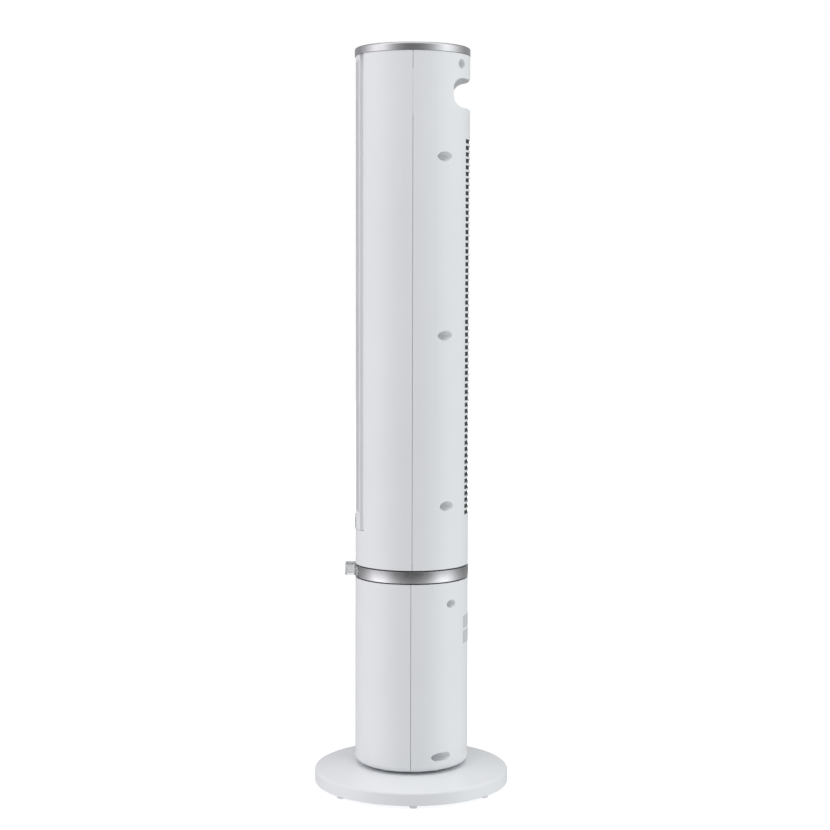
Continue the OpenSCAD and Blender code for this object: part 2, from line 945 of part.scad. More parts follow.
module upper_front_shell() {
    color(white) {
        difference() {
            front_half(upper_seam_y) upper_body();
            outlet_opening();
        }
        outlet_frame();
        mirrored() for (w = upper_wells) shell_post(w);
    }
}

// Section of the finger groove, with its mouth at the tower's surface
module groove_outline(grow) {
    c = handle_corner + grow;
    y0 = handle_y - grow;
    z0 = handle_z - grow;
    z1 = handle_z + handle_h + grow;
    lip_y = tower_r - handle_lip;
    translate([y0 + c, z0]) square([big, z1 - z0]);
    translate([y0, z0 + c]) square([c + 1, z1 - z0 - 2 * c]);
    translate([y0 + c, z0 + c]) circle(c);
    translate([y0 + c, z1 - c]) circle(c);
    if (grow == 0)
        difference() {
            translate([lip_y, z0 - handle_lip]) square([big, z1 - z0 + 2 * handle_lip]);
            translate([lip_y, z0 - handle_lip]) circle(handle_lip);
            translate([lip_y, z1 + handle_lip]) circle(handle_lip);
        }
}

module groove(grow) {
    translate([-big / 2, 0, 0])
        rotate([90, 0, 90]) linear_extrude(big) groove_outline(grow);
}

module upper_rear_shell() {
    wells = concat(upper_wells, [head_well]);
    color(white)
        difference() {
            union() {
                rear_half(upper_seam_y) upper_body();
                mirrored() for (w = wells) well_boss(w);
                seam_lip(upper_seam_y, rim_top + 4, handle_z - 20);
                intersection() {
                    translate([0, 0, handle_z - 20]) cylinder(r = tower_r - 0.8, h = handle_h + 40);
                    groove(wall);
                    block(-big, big, 20, big, handle_z - 20, handle_z + handle_h + 20);
                }
                mirrored() {
                    rear_sector(shell_in + 0.6, screen_r - screen_t - 1.8, screen_x + 0.3, screen_x + 2.3);
                    rear_sector(screen_r - screen_t - 0.3, screen_r - screen_t - 1.8, screen_x - 2,
                        screen_x + 2.3);
                }
            }
            rear_sector(tower_r - slot_wall, screen_r - screen_t - 0.3, -screen_x - 0.3, screen_x + 0.3, 0.3);
            groove(0);
            mirrored() for (w = wells) well_hole(w);
            for (i = [0 : slot_count - 1])
                intersection() {
                    ring(big, screen_r - screen_t, slot_z + i * slot_pitch - slot_h / 2,
                        slot_z + i * slot_pitch + slot_h / 2);
                    block(-slot_x, slot_x, 40, big, 0, total_h);
                }
        }
}

// An upright strip of the rear wall, over the height of the slots and past it by the play
module rear_sector(r_out, r_in, x0, x1, play = 0) {
    z0 = slot_z - 8 - play;
    z1 = handle_z - 20 + play;
    intersection() {
        ring(r_out, r_in, z0, z1);
        block(x0, x1, 0, big, z0, z1);
    }
}

module intake_screen() {
    color(dark) rear_sector(screen_r, screen_r - screen_t, -screen_x, screen_x);
}

module upper_shell_screws() {
    color(steel) mirrored() for (w = concat(upper_wells, [head_well])) well_screw(w);
}

module grille_sector(r_out, r_in, x0, x1, z0, z1) {
    intersection() {
        ring(r_out, r_in, z0, z1);
        block(x0, x1, -big, 0, z0, z1);
    }
}

module front_grille() {
    z0 = outlet_z + fit;
    z1 = top_ring_z - fit;
    channel_r = grille_r - 4;
    bars = floor((grille_x - 4) / bar_pitch);
    color(white) {
        mirrored() {
            grille_sector(channel_r, channel_r - 2, grille_x - 1, outlet_x - 0.4, z0, z1);
            grille_sector(grille_r, channel_r - 2, grille_x - 3, grille_x, z0, z1);
        }
        grille_sector(grille_r, channel_r - 2, -grille_x, grille_x, z0, z0 + 26);
        grille_sector(grille_r, channel_r - 2, -grille_x, grille_x, z1 - 8, z1);
        for (i = [-bars : bars])
            grille_sector(grille_r, channel_r, i * bar_pitch - bar_w / 2, i * bar_pitch + bar_w / 2,
                z0 + 25, z1 - 7);
        for (i = [1 : 11])
            grille_sector(channel_r + 1, channel_r - 1, -grille_x, grille_x,
                z0 + 26 + i * (z1 - z0 - 34) / 12 - 1, z0 + 26 + i * (z1 - z0 - 34) / 12 + 1);
    }
}

// A blank badge of two stacked bars on the grille's lower end
module badge() {
    color("#c9cdd0")
        intersection() {
            ring(grille_r + 2, grille_r, outlet_z, outlet_z + 30);
            union() {
                badge_bar(13, 5.6, outlet_z + 14.8);
                badge_bar(12, 4.4, outlet_z + 5.6);
            }
        }
}

module badge_bar(half_w, r, z) {
    translate([0, 0, z])
        rotate([90, 0, 0])
            linear_extrude(big) {
                square([2 * (half_w - r), 2 * r], center = true);
                for (x = [r - half_w, half_w - r]) translate([x, 0]) circle(r);
            }
}

// ---- head: boards, panel and buttons ----

module cable_slot(z0, z1) {
    block(cable_x - 1.5, cable_x + 8.5, -31.5, -28.5, z0, z1);
}

module control_cable() {
    color("lightgray") {
        block(cable_x, cable_x + 7, -30.6, -29.4, 150, board_z - 1);
        block(27, cable_x + 1, -30.6, -29.4, 150, 157);
        block(36, cable_x + 7, -30.6, -23.6, board_z - 1.8, board_z - 0.8);
    }
}

module button_places() {
    for (i = [-2 : 2]) rotate(i * button_step) translate([0, -button_arc, 0]) children();
}

module control_board() {
    color("seagreen")
        difference() {
            translate([0, board_y, board_z]) cylinder(r = board_r, h = board_t);
            panel_posts() translate([0, 0, board_z - 1]) cylinder(r = hole_r, h = 5);
        }
    color(dark) {
        button_places() {
            translate([-3, -3, board_z + 1]) cube([6, 6, 4.2]);
            translate([0, 0, board_z + 5]) cylinder(r = 1.6, h = 0.9);
        }
        block(-8, 8, 22, 34, board_z + 1, board_z + 3);
    }
}

module panel_posts() {
    mirrored() {
        translate([42, 8, 0]) children();
        translate([22, -46 + 12, 0]) children();
    }
}

module control_board_screws() {
    color(steel)
        panel_posts() translate([0, 0, board_z]) rotate([180, 0, 0]) screw(8);
}

module display_module() {
    color(dark)
        block(-window_x + 3, window_x - 3, -window_y + 8, window_y + 4,
            board_z + board_t, panel_top - panel_t - 2);
}

module window_plan(inset, r) {
    x = window_x - inset;
    y = window_y - inset;
    translate([0, 4]) {
        square([2 * x - 2 * r, 2 * y], center = true);
        square([2 * x, 2 * y - 2 * r], center = true);
        for (sx = [-1, 1]) for (sy = [-1, 1]) translate([sx * (x - r), sy * (y - r)]) circle(r);
    }
}

module display_window() {
    color("black", 0.8) {
        translate([0, 0, panel_top - 1.2]) linear_extrude(1.2) window_plan(0.2, 4);
        translate([0, 0, panel_top - panel_t]) linear_extrude(panel_t - 1) window_plan(2.3, 2.5);
    }
}

module control_panel() {
    color(white)
        difference() {
            union() {
                translate([0, 0, panel_top - panel_t]) cylinder(r = panel_r, h = panel_t);
                ring(panel_r, panel_r - 2, top_ring_z + 2.2, panel_top - 1);
                panel_posts() translate([0, 0, board_z + board_t + 0.2])
                    cylinder(r = 4, h = panel_top - panel_t - board_z - board_t);
            }
            button_places() translate([0, 0, panel_top - 10]) cylinder(r = button_r + 0.35, h = 20);
            translate([0, 0, panel_top - 1.3]) linear_extrude(5) window_plan(0, 4);
            translate([0, 0, panel_top - 5]) linear_extrude(8) window_plan(2, 2.5);
            panel_posts() translate([0, 0, board_z]) cylinder(r = pilot_r, h = 11);
        }
}

module top_ring() {
    edge = 3;
    color("lightgray")
        difference() {
            rotate_extrude() {
                translate([panel_r + 0.3, top_ring_z])
                    square([top_ring_r - panel_r - 0.3, total_h - edge - top_ring_z]);
                translate([panel_r + 0.3, top_ring_z])
                    square([top_ring_r - edge - panel_r - 0.3, total_h - top_ring_z]);
                translate([top_ring_r - edge, total_h - edge]) circle(edge);
                translate([frame_r - 2.2, top_ring_z - 6]) square([2.2, 7]);
                translate([panel_r - 5, top_ring_z]) square([8, 2]);
            }
            block(-outlet_x - 3, outlet_x + 3, -big, 0, top_ring_z - 10, top_ring_z);
        }
}

// One push button: a cap in the panel's hole, a flange that keeps it in and a stem to its switch
module button(i) {
    flange_z = panel_top - panel_t - 1.7;
    stem_z = board_z + board_t + 4.3 + button_travel + 0.3;
    cap_top = panel_top + 1.6;
    color("#c9cdd0")
        rotate(i * button_step)
            translate([0, -button_arc, 0])
                difference() {
                    union() {
                        translate([0, 0, flange_z]) cylinder(r = button_r, h = cap_top - 1 - flange_z);
                        translate([0, 0, flange_z]) cylinder(r = button_r - 1, h = cap_top - flange_z);
                        translate([0, 0, cap_top - 1]) rotate_extrude()
                            translate([button_r - 1, 0]) circle(1);
                        translate([0, 0, flange_z]) cylinder(r = button_r + 1.2, h = 1.4);
                        translate([0, 0, stem_z]) cylinder(r = 2.5, h = flange_z - stem_z + 1);
                    }
                    translate([0, 0, cap_top + 19.3]) sphere(20, $fn = 180);
                }
}

module button_power() { button(-2); }
module button_speed() { button(-1); }
module button_mode() { button(0); }
module button_swing() { button(1); }
module button_timer() { button(2); }

base_cover();
base_pan();
ballast_plate();
rubber_feet();
base_screws();
pivot_post();
post_screws();
thrust_ring();
retaining_washer();
fixed_gear();
gear_screws();
cord_gland();
turntable();
turntable_screws();
swing_motor();
swing_motor_screws();
swing_pinion();
lower_front_shell();
lower_rear_shell();
lower_shell_screws();
rating_labels();
power_board();
power_board_screws();
middle_ring();
middle_frame();
scent_tray();
scent_pad();
motor_bracket();
motor_grommets();
motor_screws();
motor_can();
motor_stator();
motor_bushes();
motor_rotor();
motor_shaft();
fan_wheel();
wheel_axle();
duct_scroll();
duct_tongue();
head_frame();
axle_bush();
upper_front_shell();
upper_rear_shell();
intake_screen();
upper_shell_screws();
front_grille();
badge();
control_cable();
control_board();
control_board_screws();
display_module();
display_window();
control_panel();
top_ring();
button_power();
button_speed();
button_mode();
button_swing();
button_timer();
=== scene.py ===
"""Looks of the tower fan: satin white shells, bright rings, a clear tray and a white studio."""

import json
import math

import bmesh
import bpy
from mathutils import Matrix, Vector


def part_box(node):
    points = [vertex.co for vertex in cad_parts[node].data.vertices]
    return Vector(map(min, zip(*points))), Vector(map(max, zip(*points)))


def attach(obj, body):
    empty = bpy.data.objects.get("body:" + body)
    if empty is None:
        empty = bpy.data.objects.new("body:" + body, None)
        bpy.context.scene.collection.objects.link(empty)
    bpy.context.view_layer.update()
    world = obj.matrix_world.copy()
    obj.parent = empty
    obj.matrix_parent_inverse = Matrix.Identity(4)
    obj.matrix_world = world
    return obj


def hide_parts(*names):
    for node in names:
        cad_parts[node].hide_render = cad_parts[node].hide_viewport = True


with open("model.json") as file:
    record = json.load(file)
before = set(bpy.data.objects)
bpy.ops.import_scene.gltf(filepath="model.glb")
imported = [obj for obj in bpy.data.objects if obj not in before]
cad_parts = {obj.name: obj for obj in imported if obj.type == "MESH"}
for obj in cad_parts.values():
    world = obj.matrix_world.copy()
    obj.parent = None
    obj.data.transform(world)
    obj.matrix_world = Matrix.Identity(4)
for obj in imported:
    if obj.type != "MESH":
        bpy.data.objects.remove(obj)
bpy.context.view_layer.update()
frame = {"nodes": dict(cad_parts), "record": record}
NODES = frame["nodes"]

# ---- camera: level with two thirds of the height, looking along -X and a little down ----

CAMERA_DISTANCE = 2.558
CAMERA_HEIGHT = 0.7385
CAMERA_ASIDE = 0.0045
CAMERA_PITCH = 4.44
CAMERA_ROLL = 0.127
LENS_MM = 76.99


def add_camera():
    data = bpy.data.cameras.new("camera")
    data.lens = LENS_MM
    data.sensor_width = 36.0
    data.clip_end = 50.0
    cam = bpy.data.objects.new("camera", data)
    bpy.context.scene.collection.objects.link(cam)
    cam.matrix_world = (
        Matrix.Translation((CAMERA_DISTANCE, CAMERA_ASIDE, CAMERA_HEIGHT))
        @ Matrix.Rotation(math.radians(90), 4, "Z")
        @ Matrix.Rotation(math.radians(90 - CAMERA_PITCH), 4, "X")
        @ Matrix.Rotation(math.radians(CAMERA_ROLL), 4, "Z")
    )
    bpy.context.scene.camera = cam


# ---- studio ----

FLOOR_HALF = 8.0
FLOOR_GLOW = (0.45, 1.05)
FLOOR_GLOW_RADIUS = (0.9, 2.2)
ROOM_DIM = 0.28
ROOM_SIDES = 1.52
ROOM_BEHIND = 0.60
ROOM_BELOW = 0.55
HORIZON_DIP = 0.68
# Where each part of the room's light starts and ends, as parts of a direction along X, Y or Z
SIDES_FADE = (-0.6, 0.05)
SIDES_REST = 0.5
BEHIND_GROWS = (-0.3, -1)
BELOW_GROWS = (-0.2, -1)
HORIZON_SHIFT = 0.05
HORIZON_BAND = (0.02, 0.18)
TINT_BAND = (-0.6, 0.6)
# What shiny faces see of the room: brightness by the part along X and by the part along Z of a direction
MIRROR_BY_X = ((-1.0, 0.34), (-0.6, 0.36), (-0.35, 0.55), (-0.2, 0.72), (0.0, 1.05), (0.2, 1.35),
    (0.5, 1.25), (0.75, 0.62), (0.9, 0.33), (1.0, 0.20))
MIRROR_BY_Z = ((-1.0, 1.0), (-0.37, 1.45), (-0.17, 1.0), (0.0, 0.5), (0.13, 1.25), (0.4, 1.1), (1.0, 1.0))
MIRROR_TOP = 1.5
TOP_SIZE = (4.4, 4.4)
TOP_PLACE = (2.6, 0.0, 7.6)
TOP_POWER = 268.0
TOP_COLOR = (1.0, 0.985, 0.965)
ROOM_LEFT = (0.995, 0.98, 1.0, 1)
ROOM_RIGHT = (0.97, 0.985, 0.99, 1)
AIM_HEIGHT = 0.6


def map_range(tree, source, from_min, from_max, to_min, to_max, smooth=False):
    out = tree.nodes.new("ShaderNodeMapRange")
    if smooth:
        out.interpolation_type = "SMOOTHSTEP"
    limits = {"From Min": from_min, "From Max": from_max, "To Min": to_min, "To Max": to_max}
    for key, value in limits.items():
        out.inputs[key].default_value = value
    tree.links.new(source, out.inputs["Value"])
    return out.outputs["Result"]


def arithmetic(tree, operation, first, second=None):
    """One maths node; second may be a number or another node's output."""
    out = tree.nodes.new("ShaderNodeMath")
    out.operation = operation
    tree.links.new(first, out.inputs[0])
    if isinstance(second, (int, float)):
        out.inputs[1].default_value = second
    elif second is not None:
        tree.links.new(second, out.inputs[1])
    return out.outputs[0]


def curve(tree, source, points):
    """A piecewise linear function of a source between -1 and 1, with values up to MIRROR_TOP."""
    ramp = tree.nodes.new("ShaderNodeValToRGB")
    elements = ramp.color_ramp.elements
    for place, value in points[1:-1]:
        elements.new((place + 1) / 2)
    for place, value in points:
        nearest = min(elements, key=lambda element: abs(element.position - (place + 1) / 2))
        nearest.color = (*[value / MIRROR_TOP] * 3, 1)
    tree.links.new(map_range(tree, source, -1, 1, 0, 1), ramp.inputs["Fac"])
    return arithmetic(tree, "MULTIPLY", ramp.outputs["Color"], MIRROR_TOP)


def add_world():
    """A white room for the eye. As a light it is dim at +X, with two broad soft walls at -Y and +Y."""
    world = bpy.data.worlds.new("studio")
    bpy.context.scene.world = world
    world.use_nodes = True
    tree = world.node_tree
    nodes, links = tree.nodes, tree.links
    nodes.clear()
    out = nodes.new("ShaderNodeOutputWorld")
    mix = nodes.new("ShaderNodeMixShader")
    path = nodes.new("ShaderNodeLightPath")
    seen = nodes.new("ShaderNodeBackground")
    seen.inputs["Color"].default_value = (1, 1, 1, 1)
    room = nodes.new("ShaderNodeBackground")
    place = nodes.new("ShaderNodeTexCoord")
    split = nodes.new("ShaderNodeSeparateXYZ")
    links.new(place.outputs["Generated"], split.inputs[0])
    x, y, z = split.outputs
    tint = nodes.new("ShaderNodeMix")
    tint.data_type = "RGBA"
    tint.inputs["A"].default_value = ROOM_LEFT
    tint.inputs["B"].default_value = ROOM_RIGHT
    links.new(map_range(tree, y, *TINT_BAND, 0, 1), tint.inputs["Factor"])
    links.new(tint.outputs["Result"], room.inputs["Color"])
    walls = map_range(tree, arithmetic(tree, "MULTIPLY", y, y), 0, 1, ROOM_DIM, ROOM_DIM + ROOM_SIDES)
    walls = arithmetic(tree, "MULTIPLY", walls, map_range(tree, x, *SIDES_FADE, SIDES_REST, 1, smooth=True))
    walls = arithmetic(tree, "ADD", walls, map_range(tree, x, *BEHIND_GROWS, 0, ROOM_BEHIND))
    near_level = arithmetic(tree, "ABSOLUTE", arithmetic(tree, "ADD", z, HORIZON_SHIFT))
    walls = arithmetic(tree, "MULTIPLY", walls, map_range(tree, near_level, *HORIZON_BAND, HORIZON_DIP, 1))
    walls = arithmetic(tree, "ADD", walls, map_range(tree, z, *BELOW_GROWS, 0, ROOM_BELOW))
    mirror = arithmetic(tree, "MULTIPLY", curve(tree, x, MIRROR_BY_X), curve(tree, z, MIRROR_BY_Z))
    level = nodes.new("ShaderNodeMix")
    links.new(path.outputs["Is Glossy Ray"], level.inputs["Factor"])
    links.new(walls, level.inputs["A"])
    links.new(mirror, level.inputs["B"])
    links.new(level.outputs["Result"], room.inputs["Strength"])
    links.new(path.outputs["Is Camera Ray"], mix.inputs["Fac"])
    links.new(room.outputs[0], mix.inputs[1])
    links.new(seen.outputs[0], mix.inputs[2])
    links.new(mix.outputs[0], out.inputs["Surface"])


def add_plane(name, corners, color):
    mesh = bpy.data.meshes.new(name)
    mesh.from_pydata(corners, [], [(0, 1, 2, 3)])
    plane = bpy.data.objects.new(name, mesh)
    bpy.context.scene.collection.objects.link(plane)
    mat, tree, shader = new_material(name, color, 0.9)
    mesh.materials.append(mat)
    return plane, tree, shader


def add_floor():
    """A pale floor that glows more with the distance, so that it meets the white background unseen.

    It takes shadows but sends no light back, because the room's lower half does that.
    """
    s = FLOOR_HALF
    corners = [(-s, -s, 0), (s, -s, 0), (s, s, 0), (-s, s, 0)]
    floor, tree, shader = add_plane("studio_floor", corners, (0.90, 0.90, 0.90))
    floor.visible_diffuse = False
    floor.visible_glossy = False
    place = tree.nodes.new("ShaderNodeTexCoord")
    far = tree.nodes.new("ShaderNodeVectorMath")
    far.operation = "LENGTH"
    tree.links.new(place.outputs["Object"], far.inputs[0])
    glow = map_range(tree, far.outputs["Value"], *FLOOR_GLOW_RADIUS, *FLOOR_GLOW, smooth=True)
    shader.inputs["Emission Color"].default_value = (1, 1, 1, 1)
    tree.links.new(glow, shader.inputs["Emission Strength"])


def add_softbox(name, place, size, power):
    data = bpy.data.lights.new(name, "AREA")
    data.shape = "RECTANGLE"
    data.size, data.size_y = size
    data.energy = power
    data.color = TOP_COLOR
    light = bpy.data.objects.new(name, data)
    bpy.context.scene.collection.objects.link(light)
    light.visible_camera = False
    light.visible_glossy = False
    aim = Vector((0, 0, AIM_HEIGHT)) - Vector(place)
    light.matrix_world = Matrix.Translation(place) @ aim.to_track_quat("-Z", "Y").to_matrix().to_4x4()


# ---- materials ----

def new_material(name, color, roughness, metallic=0.0):
    mat = bpy.data.materials.new(name)
    mat.use_nodes = True
    shader = mat.node_tree.nodes["Principled BSDF"]
    shader.inputs["Base Color"].default_value = (*color, 1)
    shader.inputs["Roughness"].default_value = roughness
    shader.inputs["Metallic"].default_value = metallic
    return mat, mat.node_tree, shader


def object_noise(tree, scale, detail=3.0, stretch=(1, 1, 1)):
    """A noise in the object's own metres, stretched along an axis by a scale below 1."""
    place = tree.nodes.new("ShaderNodeTexCoord")
    squeeze = tree.nodes.new("ShaderNodeMapping")
    squeeze.inputs["Scale"].default_value = stretch
    noise = tree.nodes.new("ShaderNodeTexNoise")
    noise.inputs["Scale"].default_value = scale
    noise.inputs["Detail"].default_value = detail
    tree.links.new(place.outputs["Object"], squeeze.inputs["Vector"])
    tree.links.new(squeeze.outputs["Vector"], noise.inputs["Vector"])
    return noise.outputs["Fac"]


def spread(tree, source, low, high):
    """A noise's middle range mapped on low to high."""
    return map_range(tree, source, 0.3, 0.7, low, high)


def shade_noise(tree, shader, color, amount, scale, stretch=(1, 1, 1)):
    """Base colour that wanders by amount of its own brightness."""
    mix = tree.nodes.new("ShaderNodeMix")
    mix.data_type = "RGBA"
    mix.inputs["A"].default_value = (*[c * (1 - amount) for c in color], 1)
    mix.inputs["B"].default_value = (*[min(1, c * (1 + amount)) for c in color], 1)
    tree.links.new(spread(tree, object_noise(tree, scale, 2.0, stretch), 0, 1), mix.inputs["Factor"])
    tree.links.new(mix.outputs["Result"], shader.inputs["Base Color"])


def bump(tree, shader, source, depth, edge=0.0):
    """Bump of a depth in metres, over edges rounded in shading where edge is given."""
    node = tree.nodes.new("ShaderNodeBump")
    node.inputs["Distance"].default_value = depth
    node.inputs["Strength"].default_value = 1.0
    tree.links.new(source, node.inputs["Height"])
    if edge:
        bevel = tree.nodes.new("ShaderNodeBevel")
        bevel.samples = 4
        bevel.inputs["Radius"].default_value = edge
        tree.links.new(bevel.outputs["Normal"], node.inputs["Normal"])
    tree.links.new(node.outputs["Normal"], shader.inputs["Normal"])


GRAIN_SCALE = 900


def plastic(name, color, roughness, grain=0.00002, edge=0.0, coat=0.0):
    mat, tree, shader = new_material(name, color, roughness)
    shader.inputs["IOR"].default_value = 1.53
    shader.inputs["Coat Weight"].default_value = coat
    shader.inputs["Coat Roughness"].default_value = 0.12
    shade_noise(tree, shader, color, 0.012, 9)
    rough = spread(tree, object_noise(tree, 35), roughness - 0.05, roughness + 0.05)
    tree.links.new(rough, shader.inputs["Roughness"])
    bump(tree, shader, object_noise(tree, GRAIN_SCALE), grain, edge)
    return mat


# Painted shade inside the carry groove: the share of the base colour kept there, and the radii and height
# margins over which it fades out.
GROOVE_PAINTED_SHADE = 0.72
GROOVE_R = (0.0795, 0.0817)
GROOVE_ENDS = (0.008, 0.010)


def paint_groove_shade(mat):
    """Painted shade: the base colour is scaled down on the carry groove's inner faces, within the groove's
    height and inside the shell's outer face, so they look darker than the shell round them.
    """
    tree = mat.node_tree
    openings = {o["name"]: o["box_m"] for o in frame["record"]["physics"]["openings"]}
    low, high = openings["carry_groove"]
    place = tree.nodes.new("ShaderNodeTexCoord")
    flat = tree.nodes.new("ShaderNodeVectorMath")
    flat.operation = "MULTIPLY"
    flat.inputs[1].default_value = (1, 1, 0)
    away = tree.nodes.new("ShaderNodeVectorMath")
    away.operation = "LENGTH"
    split = tree.nodes.new("ShaderNodeSeparateXYZ")
    tree.links.new(place.outputs["Object"], flat.inputs[0])
    tree.links.new(flat.outputs["Vector"], away.inputs[0])
    tree.links.new(place.outputs["Object"], split.inputs[0])
    middle, half = (low[2] + high[2]) / 2, (high[2] - low[2]) / 2
    level = arithmetic(tree, "ABSOLUTE", arithmetic(tree, "SUBTRACT", split.outputs["Z"], middle))
    within = map_range(tree, level, *[half + end for end in GROOVE_ENDS], 1, 0)
    inside = arithmetic(tree, "MULTIPLY", within, map_range(tree, away.outputs["Value"], *GROOVE_R, 1, 0))
    painted_shade = map_range(tree, inside, 0, 1, 1, GROOVE_PAINTED_SHADE)
    shader = tree.nodes["Principled BSDF"]
    source = shader.inputs["Base Color"].links[0].from_socket
    scale = tree.nodes.new("ShaderNodeVectorMath")
    scale.operation = "SCALE"
    tree.links.new(source, scale.inputs[0])
    tree.links.new(painted_shade, scale.inputs["Scale"])
    tree.links.new(scale.outputs["Vector"], shader.inputs["Base Color"])
    return mat


def metal(name, color, roughness, brush=(1, 1, 0.02), scale=260, depth=0.000004, edge=0.0):
    mat, tree, shader = new_material(name, color, roughness, 1.0)
    shade_noise(tree, shader, color, 0.04, 40, brush)
    rough = spread(tree, object_noise(tree, scale, 4.0, brush), roughness - 0.03, roughness + 0.05)
    tree.links.new(rough, shader.inputs["Roughness"])
    bump(tree, shader, object_noise(tree, scale * 4, 2.0, brush), depth, edge)
    return mat


def rubber(name, color):
    mat, tree, shader = new_material(name, color, 0.75)
    shade_noise(tree, shader, color, 0.05, 60)
    bump(tree, shader, object_noise(tree, 1600), 0.00004)
    return mat


MESH_HOLES = 0.8


def mesh_fabric(name, color, pitch):
    """A fine square net of threads at the given pitch."""
    mat, tree, shader = new_material(name, color, 0.6)
    place = tree.nodes.new("ShaderNodeTexCoord")
    threads = []
    for direction in ("X", "Z"):
        wave = tree.nodes.new("ShaderNodeTexWave")
        wave.bands_direction = direction
        wave.inputs["Scale"].default_value = 1 / pitch
        wave.inputs["Distortion"].default_value = 0.3
        tree.links.new(place.outputs["Object"], wave.inputs["Vector"])
        threads.append(wave.outputs["Fac"])
    net = arithmetic(tree, "MAXIMUM", *threads)
    mix = tree.nodes.new("ShaderNodeMix")
    mix.data_type = "RGBA"
    mix.inputs["A"].default_value = (*[c * MESH_HOLES for c in color], 1)
    mix.inputs["B"].default_value = (*color, 1)
    tree.links.new(net, mix.inputs["Factor"])
    tree.links.new(mix.outputs["Result"], shader.inputs["Base Color"])
    tree.links.new(spread(tree, object_noise(tree, 400), 0.5, 0.7), shader.inputs["Roughness"])
    bump(tree, shader, net, pitch / 100)
    return mat


CLEAR_COLOR = (0.78, 0.80, 0.81)
# Painted shade for the clear plastic's edges, then the bevel width, normal turn and transmission range that
# lay it on.
CLEAR_EDGE_PAINTED_SHADE = (0.05, 0.053, 0.056)
CLEAR_EDGE = 0.0018
CLEAR_TURN = (0.8, 0.99)
CLEAR_PASS = (0.25, 0.75)


def clear_plastic():
    """Clear plastic with painted shade along its edges: near-black colour and less transmission where the
    bevelled normal turns away from the face's own.
    """
    mat, tree, shader = new_material("clear_plastic", CLEAR_COLOR, 0.1)
    shader.inputs["IOR"].default_value = 1.49
    bevel = tree.nodes.new("ShaderNodeBevel")
    bevel.samples = 8
    bevel.inputs["Radius"].default_value = CLEAR_EDGE
    face = tree.nodes.new("ShaderNodeNewGeometry")
    turn = tree.nodes.new("ShaderNodeVectorMath")
    turn.operation = "DOT_PRODUCT"
    tree.links.new(bevel.outputs["Normal"], turn.inputs[0])
    tree.links.new(face.outputs["Normal"], turn.inputs[1])
    flat = map_range(tree, turn.outputs["Value"], *CLEAR_TURN, 0, 1)
    tint = tree.nodes.new("ShaderNodeMix")
    tint.data_type = "RGBA"
    tint.inputs["A"].default_value = (*CLEAR_EDGE_PAINTED_SHADE, 1)
    tint.inputs["B"].default_value = (*CLEAR_COLOR, 1)
    tree.links.new(flat, tint.inputs["Factor"])
    tree.links.new(tint.outputs["Result"], shader.inputs["Base Color"])
    tree.links.new(map_range(tree, flat, 0, 1, *CLEAR_PASS), shader.inputs["Transmission Weight"])
    tree.links.new(spread(tree, object_noise(tree, 90), 0.05, 0.16), shader.inputs["Roughness"])
    bump(tree, shader, object_noise(tree, 160, 1.0), 0.00003)
    return mat


FIBRE_COLOR = (0.86, 0.87, 0.88)


def fibre():
    mat, tree, shader = new_material("scent_fibre", FIBRE_COLOR, 0.95)
    shader.inputs["Sheen Weight"].default_value = 0.4
    shade_noise(tree, shader, FIBRE_COLOR, 0.06, 300)
    bump(tree, shader, object_noise(tree, 1400, 6.0), 0.0003)
    return mat


WHITE = (0.79, 0.81, 0.83)

MATERIALS = {
    # The white shell carries painted shade inside the carry groove.
    "white_shell": paint_groove_shade(plastic("white_shell", WHITE, 0.33, edge=0.0006)),
    "white_grille": plastic("white_grille", WHITE, 0.38),
    "inner_white": plastic("inner_white", (0.62, 0.64, 0.66), 0.5),
    "panel_white": plastic("panel_white", WHITE, 0.22, coat=0.4),
    "ballast_steel": metal("ballast_steel", (0.10, 0.10, 0.11), 0.5),
    "foot_rubber": rubber("foot_rubber", (0.74, 0.75, 0.76)),
    "black_rubber": rubber("black_rubber", (0.03, 0.03, 0.032)),
    "bearing_plastic": plastic("bearing_plastic", (0.72, 0.70, 0.62), 0.4),
    "zinc_steel": metal("zinc_steel", (0.55, 0.56, 0.57), 0.35),
    "shaft_steel": metal("shaft_steel", (0.60, 0.61, 0.62), 0.22),
    "screw_steel": metal("screw_steel", (0.50, 0.51, 0.52), 0.3, edge=0.0002),
    "label_grey": plastic("label_grey", (0.55, 0.57, 0.59), 0.5),
    "circuit_board": plastic("circuit_board", (0.02, 0.16, 0.07), 0.35),
    "bright_ring": metal("bright_ring", (0.605, 0.605, 0.62), 0.2, (1, 1, 1), 120, 0.0000001, edge=0.0004),
    "clear_plastic": clear_plastic(),
    "scent_fibre": fibre(),
    "copper_winding": metal("copper_winding", (0.55, 0.24, 0.10), 0.4),
    "bronze": metal("bronze", (0.55, 0.38, 0.18), 0.35),
    "dark_plastic": plastic("dark_plastic", (0.030, 0.031, 0.034), 0.45),
    "screen_mesh": mesh_fabric("screen_mesh", (0.022, 0.023, 0.025), 0.0009),
    "badge_grey": plastic("badge_grey", (0.68, 0.70, 0.71), 0.3),
    "cable_grey": rubber("cable_grey", (0.45, 0.45, 0.46)),
    "display_black": plastic("display_black", (0.01, 0.01, 0.011), 0.5),
    "dark_lens": plastic("dark_lens", (0.012, 0.013, 0.016), 0.12, grain=0.000002),
    "button_grey": plastic("button_grey", (0.55, 0.57, 0.59), 0.3, edge=0.0003),
}


def dress_nodes():
    slots = {s["node"]: s["material_slot"] for s in frame["record"]["subparts"]}
    for name, node in NODES.items():
        node.data.materials.clear()
        node.data.materials.append(MATERIALS[slots[name]])


# ---- pieces that ride on the bodies ----

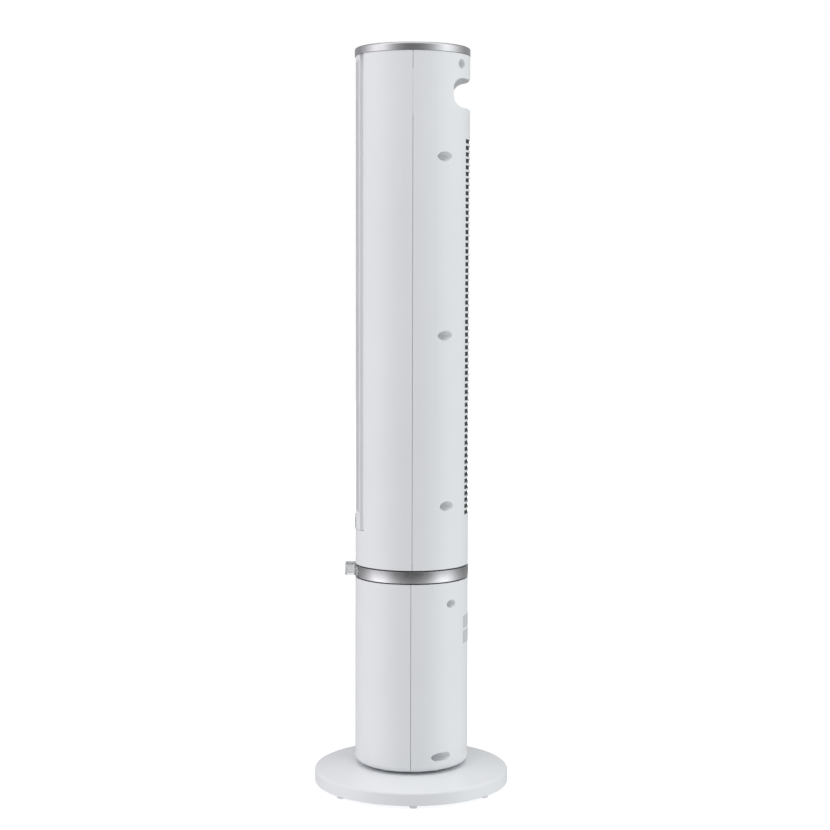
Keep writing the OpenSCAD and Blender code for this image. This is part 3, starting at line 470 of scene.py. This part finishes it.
def link_mesh(name, bm, material):
    mesh = bpy.data.meshes.new(name)
    bmesh.ops.recalc_face_normals(bm, faces=bm.faces)
    bm.to_mesh(mesh)
    bm.free()
    for polygon in mesh.polygons:
        polygon.use_smooth = True
    mesh.materials.append(material)
    obj = bpy.data.objects.new(name, mesh)
    bpy.context.scene.collection.objects.link(obj)
    return obj


PAD_FLUFF = 0.0004
PAD_CUTS = 24
PAD_ROLL = 0.0014
PAD_WAVES = (900, 1100, 1300)


def add_pad():
    """The scent pad as soft felt: rounded at its edges, with a slightly uneven face."""
    lo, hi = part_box("scent_pad")
    centre, half = (lo + hi) / 2, (hi - lo) / 2
    bm = bmesh.new()
    bmesh.ops.create_cube(bm, size=2.0)
    bmesh.ops.subdivide_edges(bm, edges=bm.edges, cuts=PAD_CUTS, use_grid_fill=True)
    for v in bm.verts:
        unit = v.co.copy()
        spare = [1 - abs(c) for c in unit]
        shrink = [max(0.0, PAD_ROLL - half[i] * spare[i]) for i in range(3)]
        pull = math.sqrt(sum(c * c for c in shrink))
        place = Vector([unit[i] * half[i] for i in range(3)])
        if pull > PAD_ROLL:
            for i in range(3):
                place[i] -= math.copysign(shrink[i] * (1 - PAD_ROLL / pull), unit[i])
        turns = [place[i] * PAD_WAVES[i] for i in range(3)]
        wave = math.sin(turns[0]) * math.sin(turns[1] + 1) * math.sin(turns[2])
        v.co = centre + place * (1 - PAD_FLUFF * (1 + wave) / half.z / 4)
    pad = link_mesh("felt_pad", bm, MATERIALS["scent_fibre"])
    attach(pad, "scent_tray")
    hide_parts("scent_pad")


ICON_WIDTH = 0.00045
DISH_RADIUS = 0.020
DISH_RISE = 0.0193
PRINT_LIFT = 0.00004


def arc(radius, start, end, steps=24):
    turns = [math.radians(start + (end - start) * i / steps) for i in range(steps + 1)]
    return [(radius * math.cos(t), radius * math.sin(t)) for t in turns]


def line(a, b, steps=6):
    return [(a[0] + (b[0] - a[0]) * i / steps, a[1] + (b[1] - a[1]) * i / steps) for i in range(steps + 1)]


def wave_line(height, steps=24):
    length, swing = 0.0052, 0.0006
    xs = [length * (i / steps - 0.5) for i in range(steps + 1)]
    return [(x, height + swing * math.sin(x / length * 4 * math.pi)) for x in xs]


ICONS = {
    "button_power": [arc(0.0023, 125, 415), line((0, 0.0008), (0, 0.0031))],
    "button_speed": [line((x, -0.002), (x, top)) for x, top in ((-0.0016, 0), (0, 0.001), (0.0016, 0.0022))],
    "button_mode": [wave_line(h) for h in (-0.0013, 0, 0.0013)],
    "button_swing": [
        arc(0.0028, 25, 155),
        line((-0.0028, 0.0026), (-0.0025, 0.0012)), line((-0.0025, 0.0012), (-0.0012, 0.0015)),
        line((0.0028, 0.0026), (0.0025, 0.0012)), line((0.0025, 0.0012), (0.0012, 0.0015)),
    ],
    "button_timer": [arc(0.0025, 0, 360), line((0, 0), (0, 0.0017)), line((0, 0), (0.0012, 0))],
}


def add_icon(button):
    """A printed sign that follows the button's hollow face."""
    lo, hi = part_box(button)
    middle = (lo + hi) / 2
    bm = bmesh.new()
    for stroke in ICONS[button]:
        rows = []
        for i, point in enumerate(stroke):
            before, after = Vector(stroke[max(i - 1, 0)]), Vector(stroke[min(i + 1, len(stroke) - 1)])
            side = (after - before).normalized().orthogonal() * ICON_WIDTH / 2
            row = []
            for flat in (Vector(point) - side, Vector(point) + side):
                z = hi.z + DISH_RISE - math.sqrt(DISH_RADIUS ** 2 - flat.length_squared) + PRINT_LIFT
                row.append(bm.verts.new((middle.x + flat.x, middle.y + flat.y, z)))
            rows.append(row)
        for a, b in zip(rows, rows[1:]):
            bm.faces.new((a[0], b[0], b[1], a[1]))
    icon = link_mesh("sign_" + button, bm, MATERIALS["dark_plastic"])
    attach(icon, button)


add_camera()
add_world()
add_floor()
add_softbox("softbox_top", TOP_PLACE, TOP_SIZE, TOP_POWER)
dress_nodes()
add_pad()
for name in ICONS:
    add_icon(name)
bpy.context.scene.view_settings.view_transform = "Standard"
